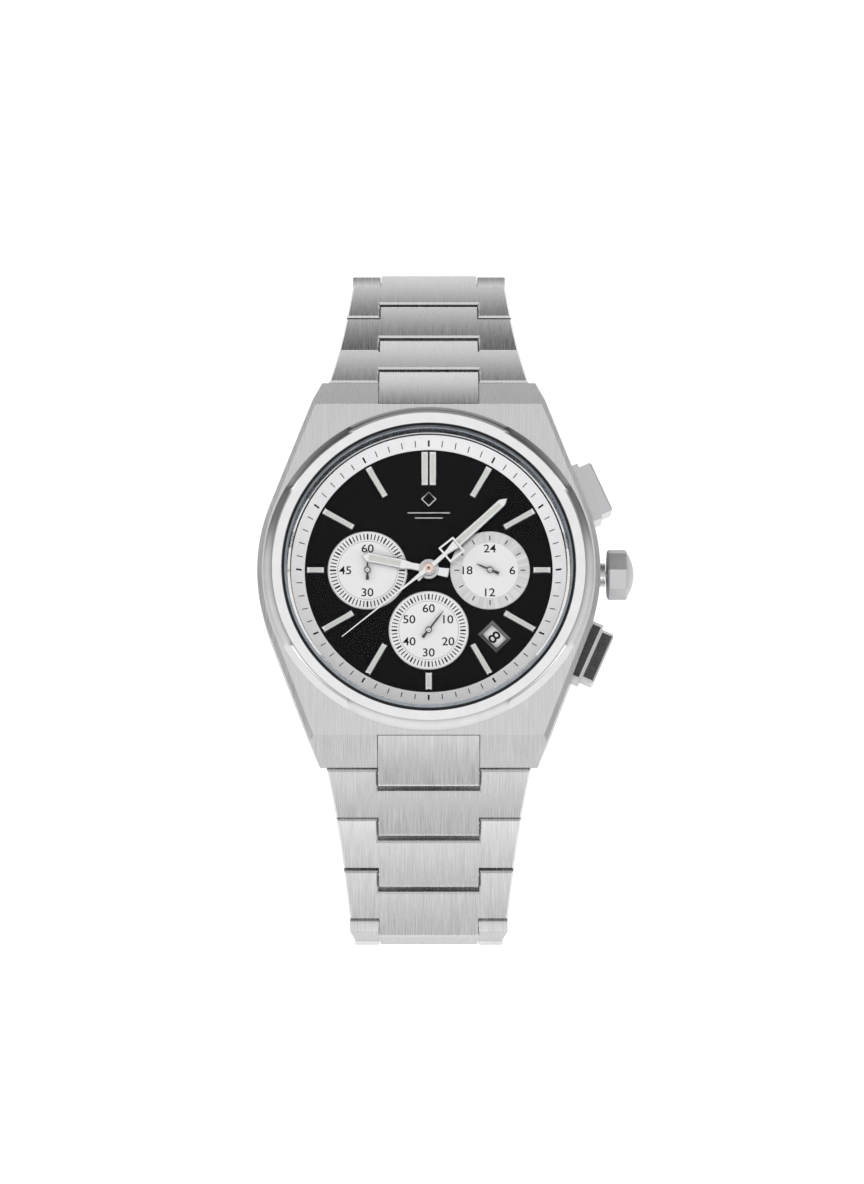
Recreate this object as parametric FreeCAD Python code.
import FreeCAD, Part
import math
import os

"""Chronograph wristwatch on an integrated steel bracelet, closed and standing on its clasp.

Millimetres. The origin is on the clasp cover's flat underside, below the dial centre.
+Z leaves the dial towards the reader, +Y points to 12 o'clock and +X to the crown.
Heights in the head are measured from the brushed top plane of the case (case plane = 0).
"""

# ---------------------------------------------------------------- case
CASE_HALF_WIDTH = 21.0        # dial centre to the widest point of the flank
CASE_EDGE_Y = 20.7            # dial centre to the end of the brushed top plane
CASE_CORNER_INSET = 6.4
CASE_CORNER_X = CASE_HALF_WIDTH - CASE_CORNER_INSET   # half width of that end
FLANK_ANGLE = 21.2            # straight part of the flank, degrees from the 12-6 line
LUG_REACH = 3.5               # the lug slope runs this far past the top plane
LUG_DROP = 3.2                # and this far down
LUG_END_HEIGHT = 0.4
LUG_RELIEF = (22.6, -5.0)      # y, z where the lug's end turns into its underside
CASE_HEIGHT = 8.2
CASE_BOTTOM_HALF = 19.4       # half length of the flat underside
FLANK_BEVEL = 0.6
CASE_BORE_R = 17.0
BEZEL_RECESS_R = 18.75
BEZEL_RECESS_DEPTH = 0.95

# ---------------------------------------------------------------- bezel, crystal, dial
BEZEL_INNER_R = 17.9
BEZEL_FLAT_R = 19.1
BEZEL_OUTER_R = 20.2
BEZEL_TOP = 1.3
BEZEL_SHELF_R = 16.95
BEZEL_SHELF_TOP = 0.35
CRYSTAL_R = 17.6
CRYSTAL_TOP = 1.7
CRYSTAL_BEVEL = 0.3
DIAL_R = 16.8
DIAL_TOP = -1.6
DIAL_THICKNESS = 0.4
CHAPTER_INNER_R = 15.2
CHAPTER_OUTER_R = 16.85
CHAPTER_TOP = -0.5
COUNTER_R = 4.9
COUNTER_OFFSET = 7.5          # dial centre to each counter's centre
COUNTER_THICKNESS = 0.08
COUNTER_POST_R = 0.14
MARKER_OUTER_R = 14.9
MARKER_WIDTH = 0.78
MARKER_LENGTH = 4.2
MARKER_SHORT = 2.1
MARKER_HEIGHT = 0.4
MARKER_PAIR_GAP = 0.22
DATE_ANGLE = 135.7            # degrees clockwise from 12
DATE_R = 11.5
DATE_LENGTH = 2.5
DATE_WIDTH = 1.75
DATE_RING_INNER_R = 9.7
DATE_RING_OUTER_R = 13.4
DATE_RING_GAP = 0.1
DATE_RING_THICKNESS = 0.3

# ---------------------------------------------------------------- caseback and movement
CASEBACK_PROUD = 0.8
CASEBACK_BOTTOM = -CASEBACK_PROUD - CASE_HEIGHT
CASEBACK_FLANGE_R = 18.6
CASEBACK_SPIGOT_R = 16.2
CASEBACK_SPIGOT_RISE = 0.7
CASEBACK_SPIGOT_TOP = CASEBACK_SPIGOT_RISE - CASE_HEIGHT
CASEBACK_SCREW_COUNT = 6
CASEBACK_SCREW_CIRCLE_R = 17.75
SCREW_R = 0.4
SCREW_HEAD_R = 0.7
SCREW_HEAD_HEIGHT = 0.4
SCREW_LENGTH = 2.2
PLATE_R = 16.95
PLATE_RIM_R = 15.6
PLATE_TOP = -3.6
PLATE_THICKNESS = 1.4
BATTERY_R = 4.75
BATTERY_HEIGHT = 2.0
BATTERY_CENTRE = (-6.5, -5.5)

# ---------------------------------------------------------------- motion works and hands
GEAR_DISTANCE = 3.0           # dial centre to the minute wheel's post
GEAR_DIRECTION = 60.0         # degrees from +X
CANNON_TEETH = 12
MINUTE_WHEEL_TEETH = 36
MINUTE_PINION_TEETH = 10
HOUR_WHEEL_TEETH = 40
GEAR_THICKNESS = 0.4
GEAR_Z = -3.5                 # underside of the cannon pinion's teeth
CANNON_TUBE_R = 0.5
CANNON_BORE_R = 0.3
HOUR_TUBE_R = 0.85
STAFF_R = 0.25
RUNNING_CLEARANCE = 0.05
HAND_THICKNESS = 0.2
COUNTER_HAND_Z = -1.25
HOUR_HAND_Z = -0.9
MINUTE_HAND_Z = -0.5
CHRONO_HAND_Z = -0.15
HOUR_HAND_LENGTH = 8.4
MINUTE_HAND_LENGTH = 13.1
CHRONO_HAND_LENGTH = 13.6
HOUR_HAND_ANGLE = 281.3       # clockwise from 12
MINUTE_HAND_ANGLE = 47.5
CHRONO_HAND_ANGLE = 230.9
SMALL_SECONDS_ANGLE = 37.5
TWENTY_FOUR_ANGLE = 293.7
MINUTE_COUNTER_ANGLE = 0.0

# ---------------------------------------------------------------- crown and pushers
SIDE_Z = -4.2                 # height of the stem and pusher axes
CROWN_R = 3.16
CROWN_FACETS = 8
CROWN_STANDOFF = 0.95   # gap between the flank and the crown
CROWN_START = CASE_HALF_WIDTH + CROWN_STANDOFF
CROWN_LENGTH = 2.5
CROWN_CAP_R = 2.7
CROWN_CAP_HEIGHT = 0.8
STEM_R = 0.45
STEM_INNER_X = 11.5
TUBE_R = 1.5
TUBE_PROUD = 0.7
TUBE_END_X = CASE_HALF_WIDTH + TUBE_PROUD
CLUTCH_X = 12.6
CLUTCH_LENGTH = 1.6
CLUTCH_R = 1.1
PUSHER_ANGLE = 24.0           # pusher axis, degrees from +X
PUSHER_SLIDE = 1.25           # along the flank, from the foot of the axis to the cap's middle
PUSHER_PROUD = 2.95
PUSHER_REACH = CASE_HALF_WIDTH + PUSHER_PROUD   # dial centre to the cap's outer face, along the axis
PUSHER_CAP = (6.6, 3.4)       # length along the flank, height
PUSHER_CAP_DEPTH = 3.0
PUSHER_GUIDE_WALL = 0.45
PUSHER_GUIDE_PROUD = 1.3
PUSHER_GUIDE_REACH = CASE_HALF_WIDTH + PUSHER_GUIDE_PROUD
PUSHER_GUIDE_DEPTH = 2.5
PUSHER_FLOOR = 0.2
SPRING_WIDTH = 0.75
SPRING_GAUGE = 0.12
PUSHER_CLEARANCE = 0.05

# ---------------------------------------------------------------- bracelet
LINK_COUNT = 8
LINK_PITCH = 7.3
LINK_THICKNESS = 3.0
LINK_WIDTH_AT_CASE = 24.8
LINK_WIDTH_AT_CLASP = 17.5
LINK_TAPER_POWER = 2.6
LINK_SLOPES = (42.0, 38.0, 40.0, 88.0, 112.0, 130.0, 150.0, 166.0)   # degrees below horizontal
SHOULDER_START = 1.2          # the shoulders begin this far before their own pin
SHOULDER_GAP = 0.25
NOTCH_WIDTH = 12.5
NOTCH_DEPTH = 1.9             # past the pin
TONGUE_CLEARANCE = 0.1        # each side
TONGUE_REACH = 1.3            # past the next pin
TONGUE_CORNER = 0.45
LINK_BEVEL = 0.22
PIN_R = 0.5
CHEEK_BORE_R = 0.52
TONGUE_BORE_R = 0.55
PIN_RECESS = 0.5              # each end of a pin sits this far below the link's side
END_LINK_RUN = 6.38           # top plane edge to the first pin, along the lug slope
CASE_BAR_Y = 20.4             # spring bar that holds the end link
CASE_BAR_Z = -4.4
CASE_BAR_R = 0.75
CASE_BAR_HALF = 8.0
END_LINK_ROOT_R = 1.25
END_LINK_HEEL = 1.0            # depth of the end link's upright face under the top plane
END_LINK_GAP = 0.1

# ---------------------------------------------------------------- clasp
CLASP_PIN_LIFT = 0.4   # lowest link surface above the table
CLASP_PIN_Z = LINK_THICKNESS / 2.0 + CLASP_PIN_LIFT   # height of the two bracelet pins at the clasp
COVER_HALF_WIDTH = 9.0
COVER_FLOOR = 1.0
COVER_WALL = 1.3
COVER_WALL_TOP = 4.4
COVER_END_Y = 17.6
COVER_NOTCH_DEPTH = 2.2
COVER_HINGE = (15.4, 2.2)     # y, z of the pin between cover and mid blade
BLADE_HINGE = (-13.0, 2.9)    # y, z of the pin between mid blade and inner blade
BLADE_PIN_R = 0.5
BLADE_PIN_BORE = 0.55
MID_BLADE_HALF_WIDTH = 6.2
MID_BLADE_Z = (1.9, 2.7)
INNER_BLADE_HALF_WIDTH = 7.3
INNER_BLADE_Z = (3.5, 4.4)
BLADE_SIDE_GAP = 0.15
BUTTON_Y = -5.0
BUTTON_LENGTH = 5.0
BUTTON_HEIGHT = 1.8
BUTTON_PROUD = 0.8
BUTTON_Z = 2.4

PIN_LINE_INSET = LINK_THICKNESS / 2.0
X_AXIS = FreeCAD.Vector(1, 0, 0)
Z_AXIS = FreeCAD.Vector(0, 0, 1)


def vec(x, y, z=0.0):
    return FreeCAD.Vector(x, y, z)


def box(x0, x1, y0, y1, z0, z1):
    return Part.makeBox(x1 - x0, y1 - y0, z1 - z0, vec(x0, y0, z0))


def cyl(radius, z0, z1, x=0.0, y=0.0):
    return Part.makeCylinder(radius, z1 - z0, vec(x, y, z0))


def cyl_x(radius, x0, x1, y, z):
    return Part.makeCylinder(radius, x1 - x0, vec(x0, y, z), X_AXIS)


def ring(outer, inner, z0, z1, x=0.0, y=0.0):
    return cyl(outer, z0, z1, x, y).cut(cyl(inner, z0 - 1, z1 + 1, x, y))


def prism(points, height):
    """A closed outline of 3-D points, extruded by a vector."""
    wire = Part.makePolygon(points + [points[0]])
    return Part.Face(wire).extrude(height)


def side_prism(outline, half_width):
    """A (y, z) outline extruded across the wrist."""
    return prism([vec(-half_width, y, z) for y, z in outline], vec(2 * half_width, 0))


def turned(section):
    """A (radius, z) section turned about the dial axis."""
    face = Part.Face(Part.makePolygon([vec(r, 0, z) for r, z in section + [section[0]]]))
    return face.revolve(vec(0, 0), Z_AXIS, 360)


def arc_points(centre, radius, start, end, steps):
    """Points on an arc in the (y, z) plane, angles in degrees from +y."""
    points = []
    for i in range(steps + 1):
        a = math.radians(start + (end - start) * i / steps)
        points.append((centre[0] + radius * math.cos(a), centre[1] + radius * math.sin(a)))
    return points


def clockwise(angle, radius):
    """Dial position at an angle clockwise from 12."""
    a = math.radians(angle)
    return radius * math.sin(a), radius * math.cos(a)


def edges_at_height(shape, z):
    return [e for e in shape.Edges if abs(e.BoundBox.ZMin - z) < 1e-6 and abs(e.BoundBox.ZMax - z) < 1e-6]


# ================================================================ bracelet geometry
def lug_slope():
    return math.degrees(math.atan2(LUG_DROP, LUG_REACH))


def first_pin():
    """(y, z from the case plane) of the pin between the end link and link 1."""
    a = math.radians(lug_slope())
    y = CASE_EDGE_Y - PIN_LINE_INSET * math.sin(a) + END_LINK_RUN * math.cos(a)
    return y, -PIN_LINE_INSET * math.cos(a) - END_LINK_RUN * math.sin(a)


def pin_positions():
    """(y, z) of pins 1 to 9 of the 12 side, heights from the case plane."""
    pins = [first_pin()]
    for slope in LINK_SLOPES:
        a = math.radians(slope)
        y, z = pins[-1]
        pins.append((y + LINK_PITCH * math.cos(a), z - LINK_PITCH * math.sin(a)))
    return pins


PINS = pin_positions()
CASE_PLANE_Z = CLASP_PIN_Z - PINS[-1][1]


def raised(shape):
    """Move a piece of the head from the case plane to its height above the table."""
    moved = shape.copy()
    moved.translate(vec(0, 0, CASE_PLANE_Z))
    return moved


def on_chain(shape, index):
    """Lay a link, drawn along +y with its pin at the origin, at its place on the 12 side."""
    placed = shape.copy()
    placed.rotate(vec(0, 0), X_AXIS, -LINK_SLOPES[index])
    y, z = PINS[index]
    placed.translate(vec(0, y, z + CASE_PLANE_Z))
    return placed


def on_six_side(shape):
    turned_round = shape.copy()
    turned_round.rotate(vec(0, 0), Z_AXIS, 180)
    return turned_round


def link_width(boundary):
    fade = (1.0 - boundary / LINK_COUNT) ** LINK_TAPER_POWER
    return LINK_WIDTH_AT_CLASP + (LINK_WIDTH_AT_CASE - LINK_WIDTH_AT_CLASP) * fade


def tongue(start):
    """The middle of a link's far end, drawn with the far pin at y = 0."""
    half = LINK_THICKNESS / 2.0
    lower = arc_points((0, 0), TONGUE_REACH, -90, 0, 6)
    corner = arc_points((TONGUE_REACH - TONGUE_CORNER, half - TONGUE_CORNER), TONGUE_CORNER, 0, 90, 4)
    outline = [(start, half), (start, -half), (-0.5, -half)] + lower + corner
    body = side_prism(outline, NOTCH_WIDTH / 2.0 - TONGUE_CLEARANCE)
    return body.cut(cyl_x(TONGUE_BORE_R, -NOTCH_WIDTH, NOTCH_WIDTH, 0, 0))


def link(index):
    """One bracelet link: shoulders with a notch at the near end and a tongue at the far end."""
    half = LINK_THICKNESS / 2.0
    near = -SHOULDER_START
    far = LINK_PITCH - SHOULDER_START - SHOULDER_GAP
    round_under = arc_points((0, 0), SHOULDER_START, 180, 250, 6)
    outline = [(near, half)] + round_under + [(0.4, -half), (far, -half), (far, half)]
    near_half = link_width(index) / 2.0
    far_half = link_width(index + 1) / 2.0
    plan = [vec(-near_half, near, -half), vec(near_half, near, -half)]
    plan += [vec(far_half, far, -half), vec(-far_half, far, -half)]
    body = side_prism(outline, near_half).common(prism(plan, vec(0, 0, LINK_THICKNESS)))
    notch_half = NOTCH_WIDTH / 2.0
    body = body.cut(box(-notch_half, notch_half, near - 1, NOTCH_DEPTH, -half - 1, half + 1))
    far_tongue = tongue(far - LINK_PITCH - 1.0)
    far_tongue.translate(vec(0, LINK_PITCH, 0))
    body = body.fuse(far_tongue).removeSplitter()
    body = body.cut(cyl_x(CHEEK_BORE_R, -near_half, near_half, 0, 0))
    outer_edges = [e for e in edges_at_height(body, half) if e.BoundBox.YMax < LINK_PITCH + 0.5]
    body = body.makeChamfer(LINK_BEVEL, outer_edges)
    pin_half = near_half - PIN_RECESS
    pin = cyl_x(PIN_R, -pin_half, pin_half, 0, 0)
    return Part.makeCompound([body.Solids[0], pin])


def end_link():
    """The centre piece that fills the lug notch and leads to link 1 (heights from the case plane)."""
    a = math.radians(lug_slope())
    along = (math.cos(a), -math.sin(a))
    out = (math.sin(a), math.cos(a))
    pin_y, pin_z = PINS[0]

    def at(u, w):
        return pin_y + along[0] * u + out[0] * w, pin_z + along[1] * u + out[1] * w

    half = LINK_THICKNESS / 2.0
    top = at(-END_LINK_RUN + END_LINK_GAP, half)
    lower = [at(TONGUE_REACH * math.sin(math.radians(t)), -TONGUE_REACH * math.cos(math.radians(t)))
             for t in range(0, 91, 15)]
    corner = []
    for t in range(0, 91, 30):
        c = math.radians(t)
        corner.append(at(TONGUE_REACH - TONGUE_CORNER * (1 - math.cos(c)),
                         half - TONGUE_CORNER * (1 - math.sin(c))))
    root = arc_points((CASE_BAR_Y, CASE_BAR_Z), END_LINK_ROOT_R, 180, 300, 8)
    heel = (CASE_BAR_Y - END_LINK_ROOT_R, -END_LINK_HEEL - 0.6)
    outline = [top, (top[0], -END_LINK_HEEL), heel] + root + lower + corner
    body = side_prism(outline, NOTCH_WIDTH / 2.0 - TONGUE_CLEARANCE)
    body = body.cut(cyl_x(TONGUE_BORE_R, -NOTCH_WIDTH, NOTCH_WIDTH, pin_y, pin_z))
    return body.cut(cyl_x(CASE_BAR_R + 0.02, -NOTCH_WIDTH, NOTCH_WIDTH, CASE_BAR_Y, CASE_BAR_Z))


# ================================================================ head
def case_outline(reach_y):
    """Plan of the case: straight flanks that run into one arc through the widest point."""
    slope = math.tan(math.radians(FLANK_ANGLE))
    chord = math.tan(math.radians(FLANK_ANGLE / 2.0))
    join_y = (CASE_CORNER_X + CASE_EDGE_Y * slope - CASE_HALF_WIDTH) / (slope - chord)
    join_x = CASE_HALF_WIDTH - chord * join_y
    end_x = CASE_CORNER_X - slope * (reach_y - CASE_EDGE_Y)
    right = Part.Arc(vec(join_x, join_y), vec(CASE_HALF_WIDTH, 0), vec(join_x, -join_y)).toShape()
    left = Part.Arc(vec(-join_x, -join_y), vec(-CASE_HALF_WIDTH, 0), vec(-join_x, join_y)).toShape()
    lines = [
        Part.makeLine(vec(-join_x, join_y), vec(-end_x, reach_y)),
        Part.makeLine(vec(-end_x, reach_y), vec(end_x, reach_y)),
        Part.makeLine(vec(end_x, reach_y), vec(join_x, join_y)),
        right,
        Part.makeLine(vec(join_x, -join_y), vec(end_x, -reach_y)),
        Part.makeLine(vec(end_x, -reach_y), vec(-end_x, -reach_y)),
        Part.makeLine(vec(-end_x, -reach_y), vec(-join_x, -join_y)),
        left,
    ]
    return Part.Face(Part.Wire(lines))


def case_blank():
    reach = CASE_EDGE_Y + LUG_REACH
    block = case_outline(reach).extrude(vec(0, 0, CASE_HEIGHT))
    block.translate(vec(0, 0, -CASE_HEIGHT))
    lug_low = -LUG_DROP - LUG_END_HEIGHT
    half = [(CASE_EDGE_Y, 0), (reach, -LUG_DROP), (reach, lug_low), LUG_RELIEF]
    half.append((CASE_BOTTOM_HALF, -CASE_HEIGHT))
    outline = half + [(-y, z) for y, z in reversed(half)]
    block = block.common(side_prism(outline, CASE_HALF_WIDTH + 1))
    flank_edges = [e for e in edges_at_height(block, 0) if e.BoundBox.YLength > CASE_EDGE_Y / 4.0]
    return block.makeChamfer(FLANK_BEVEL, flank_edges)


def lug_notch():
    """The slot in the 12 side lug that takes the end link."""
    back = CASE_BAR_Y - END_LINK_ROOT_R - END_LINK_GAP
    floor = CASE_BAR_Z - END_LINK_ROOT_R - END_LINK_GAP
    reach = CASE_EDGE_Y + LUG_REACH + 1
    outline = [(CASE_EDGE_Y, 1), (CASE_EDGE_Y, -END_LINK_HEEL + 0.05), (back, -END_LINK_HEEL - 0.5)]
    outline += [(back, floor + 0.4), (back + 0.6, floor - 0.1), (CASE_BAR_Y + 0.8, floor - 0.2)]
    outline += [(reach, floor - 1.5), (reach, 1)]
    return side_prism(outline, NOTCH_WIDTH / 2.0)


def pusher_frame(shape, side):
    """Lay a piece, drawn with the pusher axis along +x, at the 2 (side 1) or 4 (side -1) pusher."""
    placed = shape.copy()
    placed.translate(vec(0, side * PUSHER_SLIDE, SIDE_Z))
    placed.rotate(vec(0, 0), Z_AXIS, side * PUSHER_ANGLE)
    return placed


def pusher_block(x0, x1, grow):
    length, height = PUSHER_CAP
    return box(x0, x1, -length / 2.0 - grow, length / 2.0 + grow, -height / 2.0 - grow, height / 2.0 + grow)


def pusher_guide():
    floor = PUSHER_GUIDE_REACH - PUSHER_GUIDE_DEPTH
    body = pusher_block(floor, PUSHER_GUIDE_REACH, PUSHER_GUIDE_WALL)
    body = body.cut(pusher_block(floor + PUSHER_FLOOR, PUSHER_GUIDE_REACH + 1, PUSHER_CLEARANCE))
    return body.cut(cyl_x(STEM_R + 2 * PUSHER_CLEARANCE, floor - 1, floor + 1, 0, 0))


def pusher_cap():
    inner = PUSHER_REACH - PUSHER_CAP_DEPTH
    body = pusher_block(inner, PUSHER_REACH, 0)
    outer_edges = [e for e in body.Edges if e.BoundBox.XMin > PUSHER_REACH - 1e-6]
    body = body.makeChamfer(LINK_BEVEL, outer_edges)
    return body.fuse(cyl_x(STEM_R, CASE_BORE_R + 1.0, inner + 0.1, 0, 0)).removeSplitter()


def pusher_spring():
    """Return spring: two dished washers, joined at their rims, between the guide's floor and the cap."""
    floor = PUSHER_GUIDE_REACH - PUSHER_GUIDE_DEPTH + PUSHER_FLOOR
    low = floor + 0.02
    high = PUSHER_REACH - PUSHER_CAP_DEPTH - 0.02
    middle = (low + high) / 2.0
    inner_r = STEM_R + 0.1
    outer_r = inner_r + SPRING_WIDTH
    gauge = SPRING_GAUGE
    section = [(low, inner_r), (low + gauge, inner_r), (middle, outer_r - gauge), (high - gauge, inner_r)]
    section += [(high, inner_r), (middle + gauge, outer_r), (middle - gauge, outer_r)]
    points = [vec(x, r) for x, r in section]
    face = Part.Face(Part.makePolygon(points + [points[0]]))
    return face.revolve(vec(0, 0), X_AXIS, 360)


def case_middle():
    body = case_blank()
    body = body.cut(cyl(CASE_BORE_R, -CASE_HEIGHT - 1, 1))
    body = body.cut(cyl(BEZEL_RECESS_R, -BEZEL_RECESS_DEPTH, 1))
    notch = lug_notch()
    body = body.cut(notch).cut(on_six_side(notch))
    bar = cyl_x(CASE_BAR_R, -CASE_BAR_HALF, CASE_BAR_HALF, CASE_BAR_Y, CASE_BAR_Z)
    body = body.cut(bar).cut(on_six_side(bar))
    body = body.cut(cyl_x(TUBE_R, 0, CASE_HALF_WIDTH + 1, 0, SIDE_Z))
    for side in (1, -1):
        pocket = pusher_block(PUSHER_GUIDE_REACH - PUSHER_GUIDE_DEPTH, PUSHER_REACH, PUSHER_GUIDE_WALL)
        body = body.cut(pusher_frame(pocket, side))
        stem_hole = cyl_x(STEM_R + PUSHER_CLEARANCE, CASE_BORE_R / 2.0, PUSHER_REACH, 0, 0)
        body = body.cut(pusher_frame(stem_hole, side))
    for screw in screw_circle(SCREW_R, -CASE_HEIGHT - 1, CASEBACK_BOTTOM + SCREW_LENGTH):
        body = body.cut(screw)
    return body


def screw_circle(radius, z0, z1):
    solids = []
    for i in range(CASEBACK_SCREW_COUNT):
        x, y = clockwise(360.0 * (i + 0.5) / CASEBACK_SCREW_COUNT, CASEBACK_SCREW_CIRCLE_R)
        solids.append(cyl(radius, z0, z1, x, y))
    return solids


def bezel():
    section = [(BEZEL_INNER_R, BEZEL_TOP), (BEZEL_FLAT_R, BEZEL_TOP), (BEZEL_OUTER_R, 0.35)]
    section += [(BEZEL_OUTER_R, 0), (BEZEL_RECESS_R - RUNNING_CLEARANCE, 0)]
    section += [(BEZEL_RECESS_R - RUNNING_CLEARANCE, -BEZEL_RECESS_DEPTH)]
    section += [(BEZEL_SHELF_R, -BEZEL_RECESS_DEPTH), (BEZEL_SHELF_R, BEZEL_SHELF_TOP)]
    section += [(BEZEL_INNER_R, BEZEL_SHELF_TOP)]
    return turned(section)


def crystal():
    section = [(0, BEZEL_SHELF_TOP), (CRYSTAL_R, BEZEL_SHELF_TOP)]
    section += [(CRYSTAL_R, CRYSTAL_TOP - CRYSTAL_BEVEL), (CRYSTAL_R - CRYSTAL_BEVEL, CRYSTAL_TOP)]
    return turned(section + [(0, CRYSTAL_TOP)])


def caseback():
    body = cyl(CASEBACK_FLANGE_R, CASEBACK_BOTTOM, -CASE_HEIGHT)
    body = body.fuse(cyl(CASEBACK_SPIGOT_R, -CASE_HEIGHT, CASEBACK_SPIGOT_TOP)).removeSplitter()
    rim = [e for e in edges_at_height(body, CASEBACK_BOTTOM)]
    body = body.makeChamfer(SCREW_HEAD_HEIGHT, rim)
    for hole in screw_circle(SCREW_R, CASEBACK_BOTTOM - 1, 0):
        body = body.cut(hole)
    for sink in screw_circle(SCREW_HEAD_R + 0.05, CASEBACK_BOTTOM - 1, CASEBACK_BOTTOM + SCREW_HEAD_HEIGHT):
        body = body.cut(sink)
    return body


def caseback_gasket():
    outer = CASE_BORE_R - RUNNING_CLEARANCE
    return ring(outer, CASEBACK_SPIGOT_R, -CASE_HEIGHT, CASEBACK_SPIGOT_TOP - 0.1)


def caseback_screws():
    heads = screw_circle(SCREW_HEAD_R, CASEBACK_BOTTOM + 0.05, CASEBACK_BOTTOM + SCREW_HEAD_HEIGHT)
    shanks = screw_circle(SCREW_R, CASEBACK_BOTTOM + SCREW_HEAD_HEIGHT, CASEBACK_BOTTOM + SCREW_LENGTH)
    screws = []
    for head, shank in zip(heads, shanks):
        screw = head.fuse(shank).removeSplitter()
        top = screw.BoundBox
        middle = (top.XMin + top.XMax) / 2.0
        slot = box(middle - 0.1, middle + 0.1, top.YMin - 1, top.YMax + 1, top.ZMin - 1, top.ZMin + 0.15)
        screws.append(screw.cut(slot))
    return Part.makeCompound(screws)


# ================================================================ dial side
def dial():
    body = cyl(DIAL_R, DIAL_TOP - DIAL_THICKNESS, DIAL_TOP)
    body = body.cut(cyl(HOUR_TUBE_R + 0.1, DIAL_TOP - 1, DIAL_TOP + 1))
    for x, y in counter_centres():
        body = body.cut(cyl(COUNTER_POST_R + RUNNING_CLEARANCE, DIAL_TOP - 1, DIAL_TOP + 1, x, y))
    window = box(-DATE_WIDTH / 2.0, DATE_WIDTH / 2.0, DATE_R - DATE_LENGTH / 2.0,
                 DATE_R + DATE_LENGTH / 2.0, DIAL_TOP - 1, DIAL_TOP + 1)
    window.rotate(vec(0, 0), Z_AXIS, -DATE_ANGLE)
    return body.cut(window)


def counter_centres():
    return [(-COUNTER_OFFSET, 0), (COUNTER_OFFSET, 0), (0, -COUNTER_OFFSET)]


def counter_rings():
    discs = []
    for x, y in counter_centres():
        hole = COUNTER_POST_R + RUNNING_CLEARANCE
        discs.append(ring(COUNTER_R, hole, DIAL_TOP, DIAL_TOP + COUNTER_THICKNESS, x, y))
    return Part.makeCompound(discs)


def baton(angle, length, offset):
    """A raised bar, bevelled along its top, that points at the dial centre."""
    half = MARKER_WIDTH / 2.0
    low, high = DIAL_TOP, DIAL_TOP + MARKER_HEIGHT
    bar = box(-half + offset, half + offset, MARKER_OUTER_R - length, MARKER_OUTER_R, low, high)
    bar = bar.makeChamfer(MARKER_HEIGHT / 4.0, edges_at_height(bar, high))
    bar.rotate(vec(0, 0), Z_AXIS, -angle)
    return bar


def hour_markers():
    bars = []
    shift = (MARKER_WIDTH + MARKER_PAIR_GAP) / 2.0
    for hour in range(12):
        angle = 30.0 * hour
        if hour == 0:
            bars.append(baton(angle, MARKER_LENGTH, -shift))
            bars.append(baton(angle, MARKER_LENGTH, shift))
        elif hour % 3 == 0:
            bars.append(baton(angle, MARKER_SHORT, 0))
        else:
            bars.append(baton(angle, MARKER_LENGTH, 0))
    return Part.makeCompound(bars)


def chapter_ring():
    section = [(CHAPTER_INNER_R, DIAL_TOP), (CHAPTER_OUTER_R, DIAL_TOP), (CHAPTER_OUTER_R, CHAPTER_TOP)]
    return turned(section + [(CHAPTER_INNER_R, DIAL_TOP + 0.15)])


def date_ring():
    top = DIAL_TOP - DIAL_THICKNESS - DATE_RING_GAP
    return ring(DATE_RING_OUTER_R, DATE_RING_INNER_R, top - DATE_RING_THICKNESS, top)


# ================================================================ movement
def minute_wheel_centre():
    a = math.radians(GEAR_DIRECTION)
    return GEAR_DISTANCE * math.cos(a), GEAR_DISTANCE * math.sin(a)


def main_plate():
    bottom = PLATE_TOP - PLATE_THICKNESS
    body = cyl(PLATE_R, bottom, PLATE_TOP)
    body = body.fuse(ring(PLATE_R, PLATE_RIM_R, PLATE_TOP, DIAL_TOP - DIAL_THICKNESS))
    body = body.cut(cyl(STAFF_R + RUNNING_CLEARANCE, bottom - 1, PLATE_TOP + 1))
    slot_half = CLUTCH_R + 0.3
    body = body.cut(box(STEM_INNER_X - 0.5, PLATE_R + 1, -slot_half, slot_half, bottom - 1, PLATE_TOP))
    for x, y in counter_centres():
        body = body.cut(cyl(COUNTER_POST_R + RUNNING_CLEARANCE, PLATE_TOP - 0.6, PLATE_TOP + 1, x, y))
    x, y = minute_wheel_centre()
    body = body.fuse(cyl(CANNON_BORE_R, PLATE_TOP, GEAR_Z + 2.4 * GEAR_THICKNESS, x, y))
    return body.removeSplitter()


def circuit_board():
    top = PLATE_TOP - PLATE_THICKNESS
    body = cyl(PLATE_R - 1.5, top - 0.4, top)
    x, y = BATTERY_CENTRE
    body = body.cut(cyl(BATTERY_R + 0.3, top - 1, top + 1, x, y))
    body = body.cut(box(STEM_INNER_X - 1, PLATE_R, -2, 2, top - 1, top + 1))
    return body.cut(cyl(STAFF_R + 0.2, top - 1, top + 1))


def battery():
    x, y = BATTERY_CENTRE
    top = PLATE_TOP - PLATE_THICKNESS - 0.2
    body = cyl(BATTERY_R, top - BATTERY_HEIGHT, top, x, y)
    return body.makeChamfer(0.3, edges_at_height(body, top - BATTERY_HEIGHT))


def motor_coils():
    coils = []
    z = PLATE_TOP - PLATE_THICKNESS - 1.4
    for y in (6.0, 10.0):
        core = cyl_x(0.45, -5, 5, y, z)
        winding = cyl_x(0.85, -3.5, 3.5, y, z)
        foot = box(-5.5, -4.5, y - 0.6, y + 0.6, z - 0.6, z + 1.0)
        other = box(4.5, 5.5, y - 0.6, y + 0.6, z - 0.6, z + 1.0)
        coils.append(core.fuse([winding, foot, other]).removeSplitter())
    return Part.makeCompound(coils)


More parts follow.
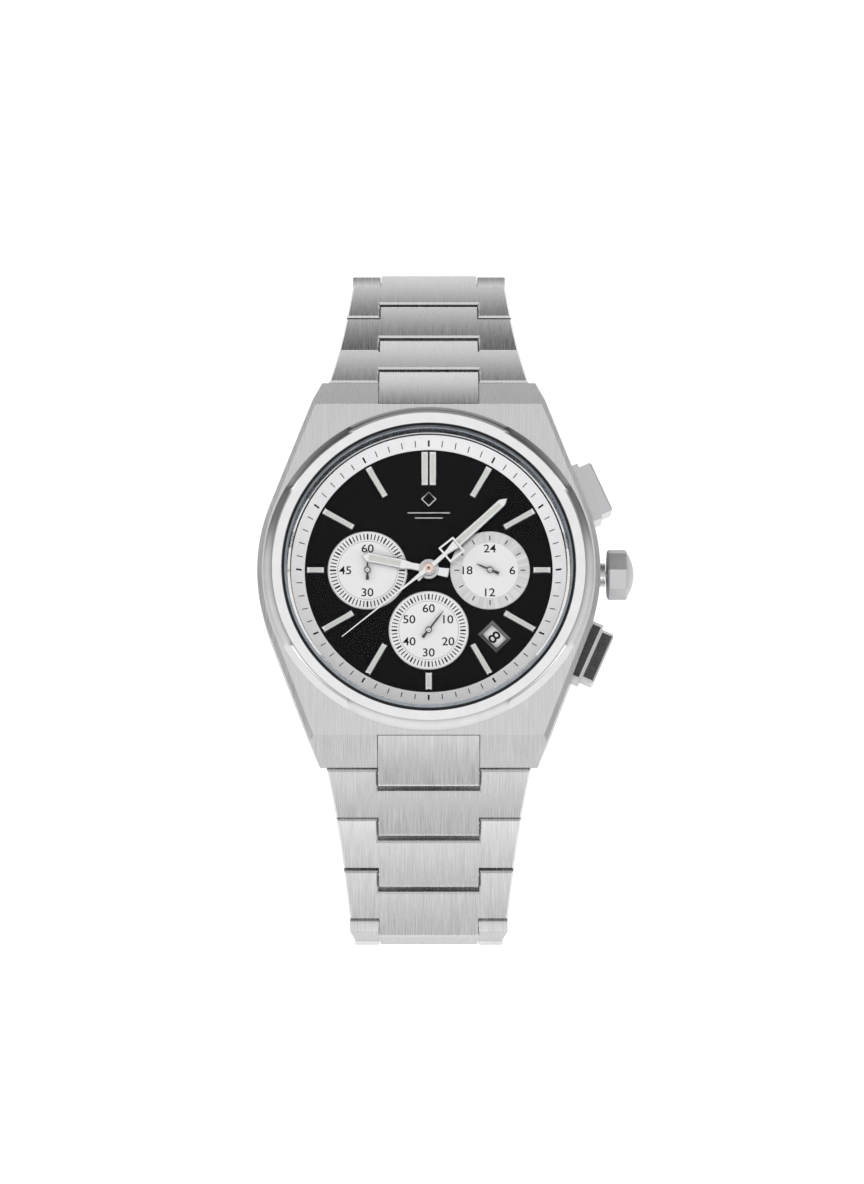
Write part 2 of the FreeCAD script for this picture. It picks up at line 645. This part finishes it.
def gear(teeth, module, z, start):
    """A spur gear with straight-sided teeth; the first tooth points at the start angle."""
    pitch_r = teeth * module / 2.0
    tip_r = pitch_r + 0.8 * module
    root_r = pitch_r - 1.1 * module
    step = 2 * math.pi / teeth
    points = []
    for i in range(teeth):
        middle = math.radians(start) + i * step
        for radius, share in ((root_r, -0.33), (tip_r, -0.12), (tip_r, 0.12), (root_r, 0.33)):
            a = middle + share * step
            points.append(vec(radius * math.cos(a), radius * math.sin(a), z))
    return prism(points, vec(0, 0, GEAR_THICKNESS))


def first_module():
    return 2 * GEAR_DISTANCE / (CANNON_TEETH + MINUTE_WHEEL_TEETH)


def second_module():
    return 2 * GEAR_DISTANCE / (MINUTE_PINION_TEETH + HOUR_WHEEL_TEETH)


def second_stage_z():
    return GEAR_Z + GEAR_THICKNESS + 0.05


def cannon_pinion():
    body = gear(CANNON_TEETH, first_module(), GEAR_Z, GEAR_DIRECTION)
    body = body.fuse(cyl(CANNON_TUBE_R, GEAR_Z, MINUTE_HAND_Z + HAND_THICKNESS))
    return body.cut(cyl(CANNON_BORE_R, GEAR_Z - 1, 1))


def minute_wheel():
    facing = GEAR_DIRECTION + 180.0
    half_tooth = 180.0 / MINUTE_WHEEL_TEETH
    body = gear(MINUTE_WHEEL_TEETH, first_module(), GEAR_Z, facing + half_tooth)
    pinion_half_tooth = 180.0 / MINUTE_PINION_TEETH
    pinion = gear(MINUTE_PINION_TEETH, second_module(), second_stage_z(), facing + pinion_half_tooth)
    hub = cyl(CANNON_BORE_R + 0.15, GEAR_Z, second_stage_z() + GEAR_THICKNESS)
    body = body.fuse([pinion, hub]).removeSplitter()
    body = body.cut(cyl(CANNON_BORE_R + RUNNING_CLEARANCE, GEAR_Z - 1, 0))
    x, y = minute_wheel_centre()
    body.translate(vec(x, y, 0))
    return body


def hour_wheel():
    z = second_stage_z()
    body = gear(HOUR_WHEEL_TEETH, second_module(), z, GEAR_DIRECTION)
    body = body.fuse(cyl(HOUR_TUBE_R, z, HOUR_HAND_Z + HAND_THICKNESS))
    return body.cut(cyl(CANNON_TUBE_R + RUNNING_CLEARANCE, z - 1, 1))


# ================================================================ hands
def flat_hand(outline, z, hub_r, hole_r, angle):
    """A mirrored outline of (half width, reach) points, pointing at 12, then turned to its place."""
    right = [vec(w, r, z) for w, r in outline]
    left = [vec(-w, r, z) for w, r in reversed(outline) if w > 0]
    body = prism(right + left, vec(0, 0, HAND_THICKNESS))
    body = body.fuse(cyl(hub_r, z, z + HAND_THICKNESS)).removeSplitter()
    if hole_r > 0:
        body = body.cut(cyl(hole_r, z - 1, z + 1))
    body.rotate(vec(0, 0), Z_AXIS, -angle)
    return body


def hour_hand():
    outline = [(0.6, -2.5), (0.45, -1.2), (0.45, 2.6), (0.72, 3.2), (0.62, HOUR_HAND_LENGTH - 0.7)]
    outline.append((0, HOUR_HAND_LENGTH))
    return flat_hand(outline, HOUR_HAND_Z, 1.25, HOUR_TUBE_R, HOUR_HAND_ANGLE)


def minute_hand():
    outline = [(0.4, -2.0), (0.3, -1.0), (0.3, 3.4), (0.55, 4.2), (0.5, MINUTE_HAND_LENGTH - 1.0)]
    outline.append((0, MINUTE_HAND_LENGTH))
    return flat_hand(outline, MINUTE_HAND_Z, 0.85, CANNON_TUBE_R, MINUTE_HAND_ANGLE)


def chronograph_hand():
    frame_near, frame_far, frame_half, wall = -2.45, -4.75, 1.15, 0.23
    outline = [(0.16, frame_near - 0.1), (0.28, -0.5), (0.28, 0.5), (0.13, 3.0), (0.05, CHRONO_HAND_LENGTH)]
    body = flat_hand(outline, CHRONO_HAND_Z, 0.6, 0, 0)
    low, high = CHRONO_HAND_Z, CHRONO_HAND_Z + HAND_THICKNESS
    frame = box(-frame_half, frame_half, frame_far, frame_near, low, high)
    inner = frame_half - wall
    frame = frame.cut(box(-inner, inner, frame_far + wall, frame_near - wall, low - 1, high + 1))
    staff = cyl(STAFF_R, PLATE_TOP - 0.6, low)
    body = body.fuse([frame, staff]).removeSplitter()
    body.rotate(vec(0, 0), Z_AXIS, -CHRONO_HAND_ANGLE)
    return body


def counter_hand(centre, angle, length, tail):
    outline = [(0.2, -tail), (0.1, -0.3), (0.1, 0.3), (0.1, length * 0.6), (0.03, length)]
    body = flat_hand(outline, COUNTER_HAND_Z, 0.4, 0, angle)
    body = body.fuse(cyl(COUNTER_POST_R, PLATE_TOP - 0.5, COUNTER_HAND_Z)).removeSplitter()
    body.translate(vec(centre[0], centre[1], 0))
    return body


# ================================================================ crown
def crown():
    sides = []
    for i in range(CROWN_FACETS):
        a = 2 * math.pi * i / CROWN_FACETS
        sides.append(vec(CROWN_START, CROWN_R * math.sin(a), SIDE_Z + CROWN_R * math.cos(a)))
    body = prism(sides, vec(CROWN_LENGTH, 0))
    end = CROWN_START + CROWN_LENGTH
    rims = [e for e in body.Edges if e.BoundBox.XLength < 1e-6]
    body = body.makeChamfer(LINK_BEVEL, rims)
    ball_r = (CROWN_CAP_R ** 2 + CROWN_CAP_HEIGHT ** 2) / (2 * CROWN_CAP_HEIGHT)
    ball = Part.makeSphere(ball_r, vec(end + CROWN_CAP_HEIGHT - ball_r, 0, SIDE_Z))
    cap = ball.common(cyl_x(CROWN_CAP_R, end - 0.1, end + 2, 0, SIDE_Z))
    body = body.fuse(cap).removeSplitter()
    body = body.cut(cyl_x(TUBE_R + 0.15, CROWN_START - 1, CROWN_START + 1.3, 0, SIDE_Z))
    return body.cut(cyl_x(STEM_R, CROWN_START, CROWN_START + 1.9, 0, SIDE_Z))


def crown_tube():
    inner = CASE_BORE_R
    body = cyl_x(TUBE_R, inner, TUBE_END_X, 0, SIDE_Z)
    for x in (TUBE_END_X - 0.25, TUBE_END_X - 0.6):
        groove = cyl_x(TUBE_R + 1, x - 0.1, x, 0, SIDE_Z).cut(cyl_x(TUBE_R - 0.2, x - 1, x + 1, 0, SIDE_Z))
        body = body.cut(groove)
    return body.cut(cyl_x(STEM_R + RUNNING_CLEARANCE, inner - 1, TUBE_END_X + 1, 0, SIDE_Z))


def clutch_wheel():
    teeth = 14
    points = []
    for i in range(2 * teeth):
        radius = CLUTCH_R if i % 2 == 0 else CLUTCH_R - 0.2
        a = math.pi * i / teeth
        points.append(vec(CLUTCH_X, radius * math.sin(a), SIDE_Z + radius * math.cos(a)))
    body = prism(points, vec(CLUTCH_LENGTH, 0))
    return body.cut(cyl_x(STEM_R + RUNNING_CLEARANCE, CLUTCH_X - 1, CLUTCH_X + CLUTCH_LENGTH + 1, 0, SIDE_Z))


# ================================================================ clasp
def clasp_cover():
    """The folded clasp's outer cover: flat floor, two side walls and a notch for the last link."""
    end_pin_y = -PINS[-1][0]
    z = CLASP_PIN_Z
    near = end_pin_y - SHOULDER_START
    round_under = arc_points((end_pin_y, z), SHOULDER_START, 90, 180, 6)
    wall_rise = end_pin_y + COVER_NOTCH_DEPTH
    outline = [(near, 0.25), (near + 0.25, 0), (COVER_END_Y - 0.4, 0), (COVER_END_Y, 0.4)]
    outline += [(COVER_END_Y, COVER_WALL_TOP - 0.6), (COVER_END_Y - 0.6, COVER_WALL_TOP)]
    outline += [(wall_rise + 1.6, COVER_WALL_TOP), (wall_rise, z + SHOULDER_START)] + round_under
    body = side_prism(outline, COVER_HALF_WIDTH)
    inside = COVER_HALF_WIDTH - COVER_WALL
    block_end = wall_rise + 3.2
    body = body.cut(box(-inside, inside, block_end, COVER_END_Y + 1, COVER_FLOOR, COVER_WALL_TOP + 1))
    notch_half = NOTCH_WIDTH / 2.0
    body = body.cut(box(-notch_half, notch_half, near - 1, wall_rise, -1, COVER_WALL_TOP + 1))
    block_top = z + SHOULDER_START
    body = body.cut(box(-inside, inside, wall_rise + 0.8, block_end + 1, block_top, COVER_WALL_TOP + 1))
    body = body.cut(cyl_x(CHEEK_BORE_R, -COVER_HALF_WIDTH + 0.8, COVER_HALF_WIDTH - 0.8, end_pin_y, z))
    hinge_y, hinge_z = COVER_HINGE
    boss = cyl_x(1.15, MID_BLADE_HALF_WIDTH + BLADE_SIDE_GAP, inside + 0.5, hinge_y, hinge_z)
    for shape in (boss, on_mirror(boss)):
        body = body.fuse(shape)
    body = body.cut(cyl_x(BLADE_PIN_BORE, -COVER_HALF_WIDTH + 0.3, COVER_HALF_WIDTH - 0.3, hinge_y, hinge_z))
    half_y, half_z = BUTTON_LENGTH / 2.0 + 0.1, BUTTON_HEIGHT / 2.0 + 0.05
    for x in (-COVER_HALF_WIDTH, inside):
        body = body.cut(box(x - 0.1, x + COVER_WALL + 0.1, BUTTON_Y - half_y, BUTTON_Y + half_y,
                            BUTTON_Z - half_z, BUTTON_Z + half_z))
    return body.removeSplitter()


def on_mirror(shape):
    return shape.mirror(vec(0, 0), X_AXIS)


def clasp_mid_blade():
    cover_y, cover_z = COVER_HINGE
    blade_y, blade_z = BLADE_HINGE
    low, high = MID_BLADE_Z
    half = MID_BLADE_HALF_WIDTH
    body = box(-half, half, blade_y, cover_y, low, high)
    for y, z, radius in ((cover_y, cover_z, 1.0), (blade_y, blade_z, 0.95)):
        body = body.fuse(cyl_x(radius, -half, half, y, z))
    for y in (-4.5, 5.5):
        body = body.cut(box(-half + 2.0, half - 2.0, y - 3.5, y + 3.5, low - 1, high + 1))
    body = body.removeSplitter()
    for y, z in (COVER_HINGE, BLADE_HINGE):
        body = body.cut(cyl_x(BLADE_PIN_R, -half - 1, half + 1, y, z))
    return body


def clasp_hinge_pins():
    cover_half = COVER_HALF_WIDTH - 0.6
    blade_half = INNER_BLADE_HALF_WIDTH - 0.1
    pins = [cyl_x(BLADE_PIN_R, -cover_half, cover_half, *COVER_HINGE)]
    pins.append(cyl_x(BLADE_PIN_R, -blade_half, blade_half, *BLADE_HINGE))
    return Part.makeCompound(pins)


def clasp_inner_blade():
    """The blade that ends in a fork round the tongue of the 12 side's last link."""
    end_pin_y = PINS[-1][0]
    z = CLASP_PIN_Z
    low, high = INNER_BLADE_Z
    blade_y, blade_z = BLADE_HINGE
    half = INNER_BLADE_HALF_WIDTH
    fork_half = LINK_WIDTH_AT_CLASP / 2.0
    far = end_pin_y + SHOULDER_START
    fork_near = COVER_END_Y + 0.4
    round_under = arc_points((end_pin_y, z), SHOULDER_START, 0, 90, 6)
    half_link = LINK_THICKNESS / 2.0
    fork = [(fork_near, z - half_link), (far, z - half_link)] + round_under
    fork += [(fork_near + 1.0, high), (fork_near, high)]
    body = side_prism(fork, fork_half)
    wall_y = end_pin_y - NOTCH_DEPTH
    notch_half = NOTCH_WIDTH / 2.0
    body = body.cut(box(-notch_half, notch_half, wall_y, far + 1, z - 3, z + 4))
    body = body.fuse(box(-half, half, blade_y + 1.4, fork_near + 0.5, low, high))
    ear = box(MID_BLADE_HALF_WIDTH + BLADE_SIDE_GAP, half, blade_y, blade_y + 1.6, blade_z - 0.4, high)
    knuckle = cyl_x(1.0, MID_BLADE_HALF_WIDTH + BLADE_SIDE_GAP, half, blade_y, blade_z)
    for shape in (ear, knuckle):
        body = body.fuse([shape, on_mirror(shape)])
    body = body.removeSplitter()
    body = body.cut(cyl_x(BLADE_PIN_BORE, -half - 1, half + 1, blade_y, blade_z))
    body = body.cut(cyl_x(CHEEK_BORE_R, -fork_half - 1, fork_half + 1, end_pin_y, z))
    pin_half = fork_half - PIN_RECESS
    pin = cyl_x(PIN_R, -pin_half, pin_half, end_pin_y, z)
    return Part.makeCompound([body.Solids[0], pin])


def clasp_button():
    """Push button in the cover's +x wall."""
    inside = COVER_HALF_WIDTH - COVER_WALL
    half_y, half_z = BUTTON_LENGTH / 2.0, BUTTON_HEIGHT / 2.0
    low, high = BUTTON_Z - half_z, BUTTON_Z + half_z
    outer = COVER_HALF_WIDTH + BUTTON_PROUD
    body = box(inside - 0.3, outer, BUTTON_Y - half_y, BUTTON_Y + half_y, low, high)
    rim = [e for e in body.Edges if e.BoundBox.XMin > outer - 1e-6]
    body = body.makeChamfer(LINK_BEVEL, rim)
    flange = box(inside - 0.3, inside - 0.02, BUTTON_Y - half_y - 0.6, BUTTON_Y + half_y + 0.6, low, high)
    return body.fuse(flange).removeSplitter()


def clasp_spring_bar():
    """The last pin, with both tips drawn back inside the last link's tongue."""
    half = NOTCH_WIDTH / 2.0 - TONGUE_CLEARANCE - 0.4
    return cyl_x(PIN_R, -half, half, -PINS[-1][0], CLASP_PIN_Z)


def save(name, shape):
    shape.exportStep("parts/" + name + ".step")


def save_head():
    bars = cyl_x(CASE_BAR_R, -CASE_BAR_HALF, CASE_BAR_HALF, CASE_BAR_Y, CASE_BAR_Z)
    guide = pusher_guide()
    pieces = {
        "case_middle": case_middle(),
        "bezel": bezel(),
        "crystal": crystal(),
        "crystal_gasket": ring(BEZEL_INNER_R, CRYSTAL_R, BEZEL_SHELF_TOP, BEZEL_TOP - CRYSTAL_BEVEL),
        "caseback": caseback(),
        "caseback_gasket": caseback_gasket(),
        "caseback_screws": caseback_screws(),
        "crown": crown(),
        "crown_stem": cyl_x(STEM_R, STEM_INNER_X, CROWN_START + 1.9, 0, SIDE_Z),
        "crown_tube": crown_tube(),
        "clutch_wheel": clutch_wheel(),
        "pusher_guides": Part.makeCompound([pusher_frame(guide, 1), pusher_frame(guide, -1)]),
        "pusher_upper": pusher_frame(pusher_cap(), 1),
        "pusher_lower": pusher_frame(pusher_cap(), -1),
        "pusher_upper_spring": pusher_frame(pusher_spring(), 1),
        "pusher_lower_spring": pusher_frame(pusher_spring(), -1),
        "dial": dial(),
        "counter_rings": counter_rings(),
        "hour_markers": hour_markers(),
        "chapter_ring": chapter_ring(),
        "date_ring": date_ring(),
        "main_plate": main_plate(),
        "circuit_board": circuit_board(),
        "battery": battery(),
        "motor_coils": motor_coils(),
        "cannon_pinion": cannon_pinion(),
        "minute_wheel": minute_wheel(),
        "hour_wheel": hour_wheel(),
        "hour_hand": hour_hand(),
        "minute_hand": minute_hand(),
        "chronograph_hand": chronograph_hand(),
        "minute_counter_hand": counter_hand((-COUNTER_OFFSET, 0), MINUTE_COUNTER_ANGLE, 2.4, 1.25),
        "twenty_four_hour_hand": counter_hand((COUNTER_OFFSET, 0), TWENTY_FOUR_ANGLE, 1.8, 1.18),
        "small_seconds_hand": counter_hand((0, -COUNTER_OFFSET), SMALL_SECONDS_ANGLE, 2.95, 1.2),
        "case_spring_bars": Part.makeCompound([bars, on_six_side(bars)]),
        "end_link_12": end_link(),
        "end_link_6": on_six_side(end_link()),
    }
    for name, shape in pieces.items():
        save(name, raised(shape))


def save_bracelet():
    for index in range(LINK_COUNT):
        placed = on_chain(link(index), index)
        save("link_12_%d" % (index + 1), placed)
        save("link_6_%d" % (index + 1), on_six_side(placed))


def save_clasp():
    save("clasp_cover", clasp_cover())
    save("clasp_mid_blade", clasp_mid_blade())
    save("clasp_inner_blade", clasp_inner_blade())
    save("clasp_hinge_pins", clasp_hinge_pins())
    save("clasp_spring_bar", clasp_spring_bar())
    button = clasp_button()
    save("clasp_button_right", button)
    save("clasp_button_left", on_mirror(button))


os.makedirs("parts", exist_ok=True)
save_head()
save_bracelet()
save_clasp()
